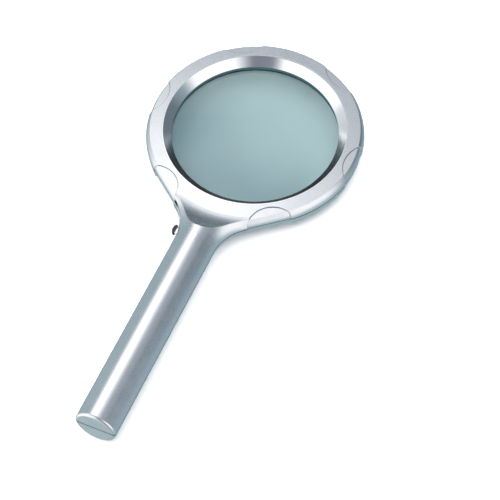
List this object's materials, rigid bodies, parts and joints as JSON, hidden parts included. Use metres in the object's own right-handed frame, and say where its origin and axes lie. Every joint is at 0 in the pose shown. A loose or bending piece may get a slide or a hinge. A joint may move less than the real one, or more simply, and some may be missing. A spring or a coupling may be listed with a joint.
{
  "type": "illuminated hand lens",
  "caption": "Hand magnifier with a clear biconvex lens in a round silver head, a tubular battery handle, a sliding side switch and small lamps behind the neck.",
  "frame": {"origin": "bottom centre of the whole object's box; the lens axis stands at y = 67.95 mm and the handle's axis lies 11 mm above the origin", "axes": "+X across the lens, +Y from the handle's flat end to the far rim of the head, +Z out of the front face of the lens"},
  "size_m": [0.1164, 0.2535, 0.022],
  "materials": {
    "shell_silver": "satin silver lacquer on moulded plastic",
    "bezel_bright": "polished turned aluminium",
    "gasket_dark": "matt",
    "lens_clear": "polished acrylic with a faint blue-green tint",
    "knob_black": "gloss black",
    "slider_white": "natural nylon",
    "switch_case": "plated sheet steel",
    "contact_plate": "nickel plated",
    "board_green": "solder resist",
    "lamp_clear": "clear epoxy",
    "resistor_body": "lacquered",
    "cell_jacket": "plain printed film",
    "screw_steel": "zinc plated",
    "wire_red": "plastic insulation",
    "wire_black": "plastic insulation"
  },
  "bodies": {
    "body": {"front_shell": "shell_silver", "rear_shell": "shell_silver", "bezel_ring": "bezel_bright", "lens_gasket": "gasket_dark", "lens": "lens_clear", "switch_body": "switch_case", "switch_terminals": "contact_plate", "led_board": "board_green", "leds": "lamp_clear", "resistor": "resistor_body", "battery_front": "cell_jacket", "battery_rear": "cell_jacket", "positive_contact": "contact_plate", "spring_contact": "contact_plate", "spring_plate": "contact_plate", "return_strip": "contact_plate", "ring_screws": "screw_steel", "neck_screw": "screw_steel", "wire_positive": "wire_red", "wire_switched": "wire_red", "wire_return": "wire_black"},
    "cover": {"battery_cover": "shell_silver"},
    "switch": {"switch_knob": "knob_black", "switch_slider": "slider_white"}
  },
  "joints": [
    {"name": "cover_slide", "type": "slide", "parent": "body", "child": "cover", "axis": [0, -1, 0], "range_m": [0, 0.11]},
    {"name": "switch_slide", "type": "slide", "parent": "body", "child": "switch", "axis": [0, -1, 0], "range_m": [0, 0.003]}
  ]
}
